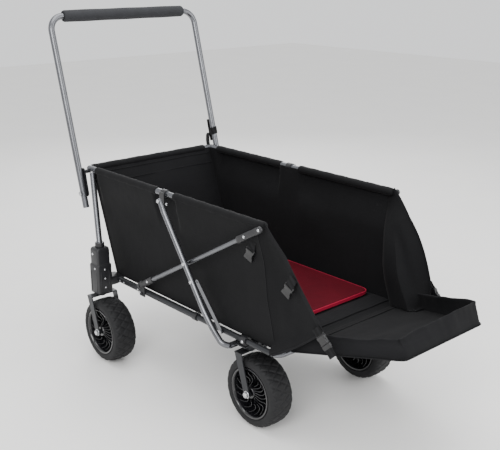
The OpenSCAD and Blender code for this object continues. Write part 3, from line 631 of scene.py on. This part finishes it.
# (height, x) along the panel's rear edge and its front seam
REAR = [(FLOOR_Z, -344), (RIM_Z + 2, -462)]
FRONT = [(FLOOR_Z, 389), (300, 381), (387, 359), (470, 349), (557, 342), (RIM_Z + 2, 346)]
for side, s in SIDES:
    def wall(u, v):
        z = FLOOR_Z + v * (RIM_Z + 1.5 - FLOOR_Z)
        x0 = np.interp(z, [q[0] for q in REAR], [q[1] for q in REAR])
        x1 = np.interp(z, [q[0] for q in FRONT], [q[1] for q in FRONT])
        x = x0 + u * (x1 - x0)
        calm = min(1, u * 9, (1 - u) * 9) * math.sin(math.pi * min(v * 1.02, 1)) ** 0.6
        pull = 2.6 * math.exp(-((u - 0.62) * 9) ** 2) * math.sin(10 * v + 3 * u)
        dip = 1.2 + 2.4 * ripple(u * 4.2, v * 2.6, s) + pull
        y = WALL_Y - 0.3 - max(0.0, dip) * calm
        # where the sleeve is, the cloth comes down from its outer side
        over = max(ease((x + 420) / 14) * ease((-92 - x) / 14), ease((x + 14) / 14) * ease((356 - x) / 10))
        y += 20.6 * over * ease((z - 462) / (RIM_Z - 462))
        return x, -y, z

    def sleeve(x0, x1, k):
        path = [(x0 + (x1 - x0) * t, -HALF_W, RIM_Z) for t in np.linspace(0, 1, 46)]
        parts = []
        outer = [(11.6 * math.cos(q), 11.6 * math.sin(q)) for q in np.linspace(0, 2 * math.pi, 25)[:-1]]
        v, f = swept(path, outer)
        v = v.copy()
        for i, p in enumerate(v):
            q = math.atan2(p[2] - RIM_Z, p[1] + HALF_W)
            fat = 0.35 * math.sin(p[0] * 0.11 + k) + 0.3 * math.sin(p[0] * 0.31 + 3 * q + k)
            edge = min(1, (p[0] - x0) / 5, (x1 - p[0]) / 5)
            r = (11.1 if edge < 0.5 else 11.7) + fat * edge
            v[i, 1], v[i, 2] = -HALF_W + r * math.cos(q), RIM_Z + r * math.sin(q)
        parts.append((v, f))
        # the far end is sewn shut over the tube's end
        if k == 2:
            parts.append(placed(lofted([(-6, 0, 0, 11.6, 11.6, 11.5), (0, 0, 0, 11.7, 11.7, 11.6),
                (4, 0, 0, 10.8, 10.8, 10.7),
                                        (7, 0, 0, 8, 8, 7.9), (8.4, 0, 0, 4, 4, 3.9)]), (x1, -HALF_W, RIM_Z),
                                            (0, 0, 1), (1, 0, 0)))
        return parts

    panel = piece("side_panel_" + side, for_side([cloth_sheet(wall, 120, 46)], s), oxford_black, None,
                  60)
    hems = piece("rim_sleeves_" + side, for_side(sleeve(-417, -95, 1) + sleeve(-11, 354, 2), s), oxford_black,
                 None, 60)
    front_line = [tuple(np.array(wall(0.998, t)) - (0, 0.9, 0)) for t in np.linspace(0.02, 0.97, 40)]
    rear_line = [(-346 - 112 * t, -WALL_Y - 0.7, FLOOR_Z + 4 + (RIM_Z - 14 - FLOOR_Z) * t) for t in np.linspace(0,
        1, 12)]
    tapes = piece("wall_bindings_" + side, for_side(
        [swept(front_line, flat_bar(3.2, 1.0), (0, 1, 0)), swept(rear_line, flat_bar(9, 1.0), (0, 1, 0))], s),
        binding, None, 60)
    for obj in (panel, hems, tapes):
        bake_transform(obj)
    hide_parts("side_wall_" + side)


# ---- Back wall ----
# A leaning panel in the paler lining cloth. Its top runs round the back tube
# in a hem, with a second row of stitching a hand's breadth below.
HALF_BACK = 235.6
def back(u, v):
    y = -HALF_BACK + 2 * HALF_BACK * u
    z = FLOOR_Z + 4 + v * (RIM_Z - 6 - FLOOR_Z)
    x = -339 - (z - FLOOR_Z) * 117 / (RIM_Z - FLOOR_Z)
    calm = math.sin(math.pi * u) ** 0.5 * math.sin(math.pi * v) ** 0.5
    return x + calm * (2.0 + 2.6 * ripple(u * 5, v * 3, 4)), y, z


panel = piece("back_panel", [cloth_sheet(back, 70, 44)], oxford_lining, "rear_frame", 60)
hem_path = [(-463, -238 + 452 * t, RIM_Z) for t in np.linspace(0, 1, 60)]
v, f = swept(hem_path, ring(11.6, 26), (0, 0, 1))
v = v.copy()
for i, p in enumerate(v):
    q = math.atan2(p[2] - RIM_Z, p[0] + 463)
    edge = min(1, (p[1] + 238) / 5, (214 - p[1]) / 5)
    r = (11.0 if edge < 0.5 else 11.6) + edge * (0.4 * math.sin(p[1] * 0.07) + 0.3 * math.sin(p[1] * 0.23 + 2 * q))
    v[i, 0], v[i, 2] = -463 + r * math.cos(q), RIM_Z + r * math.sin(q)
hem = piece("back_hem", [(v, f)], oxford_lining, "rear_frame", 60)
rows = []
for z, w in ((RIM_Z - 14, 2.2), (RIM_Z - 46, 3.0)):
    x = -339 - (z - FLOOR_Z) * 117 / (RIM_Z - FLOOR_Z) + 2.4
    rows.append(swept([(x + 1.2 * ripple(y * 0.01, 1), y, z + 0.8 * ripple(y * 0.012, 3)) for y in np.linspace(-228,
        228, 40)],
                      flat_bar(w, 1.6), (1, 0, 0.4)))
seams = piece("back_seams", rows, binding, "rear_frame", 60)
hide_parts("back_wall")


# ---- Tub floor ----
# The sewn bottom of the tub: a plain sheet under the boards, with a paler
# hem strip across its front edge.
lo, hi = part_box("tub_floor")
fz = (lo.z + hi.z) * 500
fx0, fx1 = (lo.x - X0) * 1000, (hi.x - X0) * 1000
def ground(u, v):
    return fx0 + (fx1 - fx0) * u, -231 + 462 * v, fz + 0.25 * ripple(u * 7, v * 5)


bottom = piece("floor_sheet", [cloth_sheet(ground, 60, 40, 1.0)], oxford_black, None, 60)
piece("floor_hem", [swept([(356 + 0.8 * ripple(y * 0.02, 1), y,
    fz + 8.2 + 0.5 * ripple(y * 0.03, 2)) for y in np.linspace(-222, 222, 30)],
                                  flat_bar(62, 1.4), (0, 0, 1))], oxford_lining, "front_frame", 60)
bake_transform(bottom)
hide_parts("tub_floor")
coat_nodes(oxford_black, "base_board_rear", "base_board_front")


# ---- Mat ----
# A thin padded mat laid on the boards: short crimson pile that looks maroon
# from above, with a brighter bound edge round its rounded corners.
pile, tree, skin, place = finish_of("short_pile_crimson", "#520a18", 0.8, more={"Specular IOR Level": 0.1})
tuft = add(tree, "TexNoise", {"Vector": place, "Scale": 420.0, "Detail": 3.0})
dress(tree, skin, relief=(tuft.outputs[0], 0.6, 0.0012))
brush = add(tree, "TexNoise", {"Vector": place, "Scale": 11.0, "Detail": 5.0, "Roughness": 0.6})
dress(tree, skin, tone=(brush.outputs[0], "#3c0610", "#570b1a"))
edge_cloth = oxford("crimson_edge_binding", "#860f2a", "#a81a3a", 0.7)
lo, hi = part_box("mat")
mx0, mx1 = (lo.x - X0) * 1000, (hi.x - X0) * 1000
my, mz0, mz1 = hi.y * 1000, lo.z * 1000, hi.z * 1000


def outline_at(inset, r, n=10):
    """The mat's rounded outline, moved in."""
    pts = []
    hx, hy, c = (mx1 - mx0) / 2 - inset, my - inset, (mx0 + mx1) / 2
    r = max(r - inset, 3)
    for sx, sy, a0 in ((1, 1, 0), (-1, 1, 90), (-1, -1, 180), (1, -1, 270)):
        for i in range(n + 1):
            a = math.radians(a0 + 90 * i / n)
            pts.append((c + sx * (hx - r) + r * math.cos(a), sy * (hy - r) + r * math.sin(a)))
        nx, ny = {(1, 1): (-1, 1), (-1, 1): (-1, -1), (-1, -1): (1, -1), (1, -1): (1, 1)}[sx, sy]
        ax, ay = pts[-1]
        a = math.radians(a0 + 90)
        bx, by = c + nx * (hx - r) + r * math.cos(a), ny * (hy - r) + r * math.sin(a)
        pts += [(ax + (bx - ax) * t, ay + (by - ay) * t) for t in np.linspace(0, 1, 26)[1:-1]]
    return pts


verts, faces = [], []
levels = [(3.5, mz0 + 0.2), (0.8, mz0 + 2.5), (0.2, mz0 + 5), (0.9, mz1 - 3.4), (3, mz1 - 1.2), (7, mz1 - 0.5)]
levels += [(d, mz1) for d in (14, 26, 44, 66, 92, 120, 150, 180, 205)]
for d, z in levels:
    for x, y in outline_at(d, 24):
        lift = min(1, d / 40) * 1.3 * ripple(x * 0.018, y * 0.02, 2) - (1.3 if d > 10 else 0)
        verts.append((x, y, z + lift))
m = len(outline_at(0, 24))
for i in range(len(levels) - 1):
    faces += [(i * m + j, i * m + (j + 1) % m, (i + 1) * m + (j + 1) % m, (i + 1) * m + j) for j in range(m)]
faces += [tuple(range(m))[::-1], tuple((len(levels) - 1) * m + j for j in range(m))]
pad = piece("mat_pad", [(np.array(verts), faces)], pile, None, 60)
edge = [(x, y, (mz0 + mz1) / 2 - 0.6) for x, y in outline_at(0.3, 24)]
trim = piece("mat_binding", [swept(edge, [(-2.2, -4.6), (0, -5.2), (1.0, -4), (1.2, 0), (1.0, 4), (0, 5.2),
    (-2.2, 4.6)],
                                   (0, 0, 1), closed=True)], edge_cloth, None, 60)
for obj in (pad, trim):
    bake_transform(obj)
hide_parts("mat")


# ---- Gussets ----
# A triangle of cloth from the wall's front seam to the gate's side buckle. It
# has a bound free edge and hangs a little slack; the far one billows more.
FX = 396  # front end of the lower rails
HX0, HZ0 = FX + 22, RAIL_Z + 12  # the gate's hinge
TILT = math.radians(12.4)  # the gate's rise at rest
GL = 329  # the gate's length
for side, s in SIDES:
    slack = 1.0 if s < 0 else 2.0
    def gusset(u, v):
        z_seam = RIM_Z + 7 - v * (RIM_Z + 7 - 246)
        x_seam = np.interp(z_seam, [q[0] for q in FRONT], [q[1] for q in FRONT]) - 1
        top, tip = np.array((359, -250.0, RIM_Z + 8)), np.array((534, -217.0, 350))
        free = top + (tip - top) * v
        free[1] += 14 * ease(v / 0.45)
        free[1] = min(free[1], -217 - 17 * (1 - v))
        sag = math.sin(math.pi * v) * (6 if s < 0 else -7)
        free = free + np.array((-0.5 * sag, 0, -0.6 * sag))
        low = max(0.0, v - 0.55) / 0.45
        over = 20.6 * ease((z_seam - 462) / (RIM_Z - 462))
        # the foot of the seam passes outside the bend of the cross tube
        y_seam = -WALL_Y + 0.6 - over - 21 * ease((282 - z_seam) / 26)
        p = np.array((x_seam, y_seam, z_seam)) * (1 - u) + free * u
        p[2] -= 7 * slack * math.sin(math.pi * u) * low ** 2
        if s > 0:
            # the left one is slack: it billows forwards and droops over the tray
            belly = math.sin(math.pi * u ** 0.62) * ease((v - 0.12) / 0.6)
            p[0] += 22 * belly * (1 + 0.18 * math.sin(5 * v + 2 * u))
            p[1] += 66 * belly * (1 + 0.16 * math.sin(7 * u + 4 * v))
            crease = math.exp(-((u - 0.36 - 0.12 * v) * 9) ** 2) * ease((v - 0.25) / 0.3)
            p[0] += 15 * crease
            p[1] -= 12 * math.exp(-((u - 0.62 - 0.1 * v) * 8) ** 2) * ease((v - 0.3) / 0.3)
            p[2] -= 52 * math.sin(math.pi * u ** 0.66) * ease((v - 0.4) / 0.6)
            p[0] += 30 * math.sin(math.pi * u) * ease((v - 0.62) / 0.38)
            edge_fall = u ** 3 * math.sin(math.pi * min(1, v * 1.04))
            p[0] += 20 * edge_fall
            p[2] += 9 * edge_fall
        p[1] += (math.sin(math.pi * u) * math.sin(math.pi * min(1, v * 1.05)) * 5
                 + math.sin(math.pi * u) * ripple(u * 3, v * 5, s) * 3 * v
                 + slack * slack * 2.2 * math.sin(math.pi * u) * low * math.sin(9 * u + 2)) * (1 if s < 0 else 1.2)
        if s > 0 and u > 0.1:
            # where it reaches the tray it lies on the base
            p[2] = max(p[2], HZ0 + max(0, p[0] - HX0) * math.tan(TILT) + 7.5)
        return p

    panel = piece("gusset_cloth_" + side, for_side([cloth_sheet(gusset, 36, 60)], s), oxford_black, "front_frame",
                  60)
    edge = [gusset(1, v) + np.array((0.4, 0, 0.4)) for v in np.linspace(0.0, 1, 30)]
    under = [gusset(u, 1) + np.array((0, 0, -0.3)) for u in np.linspace(0.05, 1, 24)]
    tape = piece("gusset_binding_" + side, for_side(
        [swept(edge, [(-1.5, -5), (0, -5.6), (1.5, -5), (1.5, 5), (0, 5.6), (-1.5, 5)], (0.69, 0, 0.72)),
         swept(under, [(-1.3, -2.6), (0, -3.2), (1.3, -2.6), (1.3, 2.6), (0, 3.2), (-1.3, 2.6)], (0, 0, 1))], s),
         binding, "front_frame", 60)
    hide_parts("gusset_" + side)
    # the slack one has more cloth in it than the taut one
    long, wide = (0.34, 0.215) if s < 0 else (0.36, 0.32)


# ---- Gate ----
# A shallow soft tray: a board sewn into the base, and a lip of doubled cloth
# that stands up round three sides with a rolled hem on top.


def gate_y(q):
    return 222 + (157 - 222) * (q - 16) / (GL - 16)


def on_gate(q, y, n):
    """A place on the gate: q out from the hinge, y across, n above its base."""
    return (HX0 + q * math.cos(TILT) - n * math.sin(TILT), y, HZ0 + q * math.sin(TILT) + n * math.cos(TILT))


def base(u, v):
    q = 16 + (GL - 17) * u
    w = gate_y(q) - 1
    c = 12
    if q > GL - c:
        w -= c - math.sqrt(max(0, c * c - (q - GL + c) ** 2))
    y = -w + 2 * w * v
    fold = math.exp(-((u - 0.42 - 0.16 * v) * 16) ** 2) + 0.8 * math.exp(-((u - 0.66 + 0.2 * v) * 19) ** 2)
    edge = min(1, 9 * u, 9 * (1 - u)) * min(1, 9 * v, 9 * (1 - v))
    rise = 1.3 * ripple(u * 5, v * 6, 1) + edge * (2.2 + 1.8 * fold * math.sin(3.4 * v + 0.6))
    return on_gate(q, y, min(rise, 5.2))


def gate_path(inset):
    w0, w1 = gate_y(18) - inset, 157 - inset
    pts = rounded([(18, -w0, 0), (GL - inset, -w1, 0), (GL - inset, w1, 0), (18, w0, 0)], 20, 8)
    dense = []
    for a, b in zip(pts, pts[1:]):
        k = max(1, int((b - a).length / 6))
        dense += [a + (b - a) * i / k for i in range(k)]
    return dense + [pts[-1]]


outer = gate_path(0.4)
count = len(outer)
rows = []
for i, p in enumerate(outer):
    t = i / (count - 1)
    ahead, behind = outer[min(i + 1, count - 1)], outer[max(i - 1, 0)]
    along = (ahead - behind).normalized()
    inward = Vector((-along.y, along.x, 0))
    tall = np.interp(t, (0, 0.08, 0.2, 0.33, 0.45, 0.6, 0.72, 0.86, 1),
                     (50, 45, 37, 41, 51, 59, 59, 53, 50)) + 1.4 * ripple(t * 26, 1)
    tall = min(tall, 60.5)
    tuck = np.interp(t, (0, 0.1, 0.2, 0.33, 0.45, 0.6, 0.72, 0.86, 1),
                     (4, 10, 20, 28, 15, 6, 4, 10, 4)) + 2.6 * ripple(t * 20, 2, 1)
    belly = 1.6 + 2.6 * ripple(t * 17, 3, 2)
    dent = 2.2 * ripple(t * 46, 1.0, 5)
    row = []
    for h, d in ((0.00, 0.6), (0.10, 0.2), (0.3, 0.4), (0.5, 0.7), (0.7, 1.0), (0.86, 0.8), (0.93, 0.0),
                 (0.985, 0.5), (1.0, 2.6),
                 (0.985, 4.8), (0.93, 5.4), (0.86, 4.4), (0.7, 4.2), (0.5, 4.0), (0.3, 3.9), (0.12, 4.2),
                 (0.03, 5.2)):
        shift = d + max(0, tuck) * ease((h - 0.35) / 0.65) + max(-0.2, belly) * math.sin(math.pi * h)
        shift += dent * ease((h - 0.15) / 0.5) * (1 - 0.5 * h)
        q = p + inward * shift
        row.append(on_gate(q.x, q.y, -2.6 + (tall + 2.6) * h))
    rows.append(row)
m = len(rows[0])
verts = np.array(rows).reshape(-1, 3)
faces = [(i * m + j, i * m + (j + 1) % m, (i + 1) * m + (j + 1) % m,
          (i + 1) * m + j) for i in range(count - 1) for j in range(m)]
faces += [tuple(range(m))[::-1], tuple((count - 1) * m + j for j in range(m))]
lip = piece("gate_lip_cloth", [(verts, faces)], oxford_lining, "gate", 60)
tray = piece("gate_base_pad", [cloth_sheet(base, 70, 60, 5.6)], oxford_black, "gate", 60)
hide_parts("gate_board")
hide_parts("gate_lip")
foot_tape = [on_gate(p.x, p.y, -1.2) for p in gate_path(-0.9)]
crease = piece("gate_seam", [swept(foot_tape, ring(1.3, 8), (0.2, 0, 1))], binding, "gate", 60)
# the tub's cloth carries on over the cross tube to the hinge seam
piece("front_apron", [swept([(x, 0.01 * k, z) for k, (x,
    z) in enumerate(((372, FLOOR_Z + 9.2), (386, FLOOR_Z + 8.8), (398, FLOOR_Z + 7.4),
                                                                                 (408, FLOOR_Z + 6.2),
                                                                                     (419, HZ0 + 4.0)))],
                                    flat_bar(432, 1.6), (0, 0, 1))], oxford_black, "front_frame", 60)
piece("gate_hinge_cloth", [swept(
    [on_gate(q, 0, n) for q, n in ((-3, 3.4), (0, 4.0), (5, 3.9), (10, 3.7), (16, 3.9), (22, 4.2))],
    flat_bar(430, 1.6), (-0.18, 0, 1))], oxford_black, "gate", 60)


# ---- Side-release buckles ----
# Acetal buckles on 25 mm polypropylene webbing join the gussets to the gate.
# The socket is a flat shell with side windows; the plug has two sprung arms.
acetal, tree, skin, place = finish_of("moulded_acetal", "#0d0d0f", 0.3)
grain = add(tree, "TexNoise", {"Vector": place, "Scale": 900.0})
dress(tree, skin, relief=(grain.outputs[0], 0.2, 0.0002))
scuff = add(tree, "TexNoise", {"Vector": place, "Scale": 120.0, "Detail": 4.0})
dress(tree, skin, tone=(scuff.outputs[0], "#0a0a0c", "#121214"))

webbing, tree, skin, place = finish_of("polypropylene_webbing", "#0b0b0d", 0.82, more={"Specular IOR Level": 0.2})
rib = add(tree, "TexWave", {"Vector": place, "Scale": 28.0, "Distortion": 0.5}, bands_direction="DIAGONAL")
dress(tree, skin, relief=(rib.outputs[1], 0.5, 0.0006))
dress(tree, skin, tone=(rib.outputs[1], "#09090a", "#161618"))

BO = Vector((FX + 138, -WALL_Y + 12.3, RAIL_Z + 94))
b6, b46 = math.radians(6), math.radians(46)
BXA = Vector((math.cos(b46) * math.cos(b6), math.cos(b46) * math.sin(b6), -math.sin(b46)))
BZA = Vector((math.sin(b46) * math.cos(b6), math.sin(b46) * math.sin(b6), math.cos(b46)))


def on_buckle(part):
    """A part drawn with its pull along z and its width along x, laid on the buckle's line."""
    return placed(part, BO, BZA, BXA)


for side, s in SIDES:
    socket = [lofted([(0.2, 0, 0, 12, 3.6, 1.5), (1.2, 0, 0, 13.4, 4.6, 2), (4, 0, 0, 14, 5, 2),
                      (6, 0, 0, 13.6, 5, 2.4), (12, 0, 0, 11.6, 5, 2.4),
                      (17, 0, 0, 11.8, 5, 2.4), (21, 0, 0, 13.2, 5, 2.4), (23, 0, 0, 14, 4.9, 2),
                      (24, 0, 0, 13.4, 4.4, 2)]),
              lofted([(-4, 0, 0, 14, 1.2, 0.8), (-3, 0, 0, 14, 1.8, 0.8), (-0.5, 0, 0, 14, 1.8, 0.8),
                      (0.4, 0, 0, 13.4, 1.2, 0.8)])]
    shell = piece("buckle_socket_" + side, for_side([on_buckle(p) for p in socket], s), acetal, "front_frame",
                  30)
    strap = lofted([(-22, 0, 1.6, 12.5, 0.8, 0.4), (-16, 0, 1.0, 12.5, 0.8, 0.4), (-8, 0, 0.4, 12.5, 1.2, 0.6),
                    (-2.5, 0, 0, 12.5, 2.6, 1.0),
                    (-1.6, 0, 0, 12.3, 2.4, 1.0)])
    tape = piece("buckle_webbing_upper_" + side, for_side([on_buckle(strap)], s), webbing, "front_frame",
                 50)
    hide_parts("gate_buckle_" + side)
    plug = [lofted([(24.6, 0, 0, 13.2, 3.2, 1.4), (25.6, 0, 0, 14, 4, 1.6), (33, 0, 0, 14, 4, 1.6),
                    (35, 0, 0, 13, 3.2, 1.4),
                    (38.4, 0, 0, 12.8, 2.6, 1.2)]),
            lofted([(9, 0, 0, 1.2, 2, 0.8), (25, 0, 0, 1.8, 2.2, 0.8)])]
    for k in (-1, 1):
        plug.append(lofted([(25, k * 10, 0, 1.8, 2.2, 0.8), (18, k * 11.4, 0, 1.8, 2.4, 0.8),
            (13, k * 12.6, 0, 1.7, 2.4, 0.8),
                            (10, k * 11.6, 0, 1.4, 2.2, 0.8), (8.2, k * 9.6, 0, 1.0, 2.0, 0.8)][::-1]))
    arms = piece("buckle_plug_part_" + side, for_side([on_buckle(p) for p in plug], s), acetal,
                 "buckle_plug_" + side, 30)
    strap = lofted([(34, 0, 0, 12.3, 2.4, 1.0), (38, 0, 0.4, 12.5, 2.6, 1.0), (44, 0, 0.9, 12.5, 1.2, 0.6),
                    (54, 0, 1.6, 12.5, 0.8, 0.4),
                    (60, 0, 2.2, 12.5, 0.8, 0.4)])
    piece("buckle_webbing_lower_" + side, for_side([on_buckle(strap)], s), webbing, "buckle_plug_" + side,
          50)
    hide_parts("buckle_tip_" + side)


# ---- Open sockets on the walls ----
# Empty buckle sockets on short webbing tabs, sewn to the wall and the gusset;
# they take the gate's plugs when the gate is shut.
for side, s in SIDES:
    parts, tabs = [], []
    for origin, lean in ((Vector((FX - 88, -WALL_Y - 11.5, RIM_Z - 74)), 20),
        (Vector((441, -WALL_Y - 3.0, 447)), 28)):
        a = math.radians(lean)
        down, wide = Vector((-math.sin(a), 0, -math.cos(a))), Vector((math.cos(a), 0, -math.sin(a)))
        for part in (lofted([(0, 0, 0, 14.5, 3.4, 1.5), (1.5, 0, 0, 15.5, 4.4, 1.8), (6, 0, 0, 15.2, 4.6, 2),
            (9, 0, 0, 12.2, 4.6, 2),
                             (17, 0, 0, 12.2, 4.6, 2), (20, 0, 0, 15, 4.6, 2), (28, 0, 0, 15.5, 4.4, 1.8),
                                 (29, 0, 0, 14.6, 3.4, 1.8)]),
                     lofted([(-5, 0, 0, 15.5, 1.6, 0.8), (-4, 0, 0, 15.5, 2.6, 1.0), (-1.5, 0, 0, 15.5, 2.6, 1.0),
                         (-0.5, 0, 0, 15.0, 1.6, 0.8)]),
                     lofted([(-1.2, -13.4, 0, 1.6, 2, 0.8), (1, -13.4, 0, 1.6, 2, 0.8)]),
                     lofted([(-1.2, 13.4, 0, 1.6, 2, 0.8), (1, 13.4, 0, 1.6, 2, 0.8)])):
            parts.append(placed(part, origin, wide, down))
        # the tab comes up behind the socket, turns over its bar and is sewn in a box
        tabs.append(placed(lofted([(-30, 0, 2.2, 12.5, 0.8, 0.4), (-28, 0, 1.8, 12.5, 1.4, 0.6),
            (-8, 0, 0.8, 12.5, 1.6, 0.6), (-5, 0, 0, 12.5, 3.6, 1.6),
                                   (-3, 0, 0, 12.5, 4.0, 1.8), (-1.6, 0, 0, 12.4, 3.2, 1.6)]), origin, wide, down))
    shells = piece("closing_sockets_" + side, for_side(parts, s), acetal, "front_frame", 30)
    piece("closing_tabs_" + side, for_side(tabs, s), webbing, "front_frame", 50)
    if s < 0:
        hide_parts("closing_buckles")


# ---- Handle strap ----
# A hook-and-loop tie wrapped round the left arm, its free end standing up and
# a loop of it hanging towards the rim.
lean = math.radians(15)
AX, AZ = Vector((math.cos(lean), 0, math.sin(lean))), Vector((-math.sin(lean), 0, math.cos(lean)))
pivot = Vector((-452, 280, RIM_Z - 74))
band = []
for i in range(56):
    a = math.radians(200 - 450 * i / 55)
    r = 11.4 + 1.7 * i / 55
    band.append(pivot + AZ * (129 + 2 * math.sin(i * 0.11)) + AX * (r * math.cos(a)) + Vector((0, r * math.sin(a),
        0)))
v, f = swept(band, [(y, x) for x, y in flat_bar(25, 1.5)], AZ)
tail = [pivot + AZ * (96 + 76 * t) + AX * (-13.6 - 0.6 * math.sin(3 * t)) for t in np.linspace(0, 1, 14)]
v2, f2 = swept(tail, flat_bar(22, 1.5), AX)
loop = rounded([(-13.5, -3, 124), (-19, -13, 123), (-20, -19.5, 96), (-18, -19, 58), (-16, -12, 38), (-14, -5, 46)],
               14, 6)
loop = [pivot + AX * q.x + Vector((0, q.y, 0)) + AZ * q.z for q in loop]
v3, f3 = swept(loop, [(y, x) for x, y in flat_bar(20, 1.5)], AX)
strap = piece("handle_tie", [(v, f), (v2, f2), (v3, f3)], webbing, "handle", 50)
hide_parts("handle_strap")
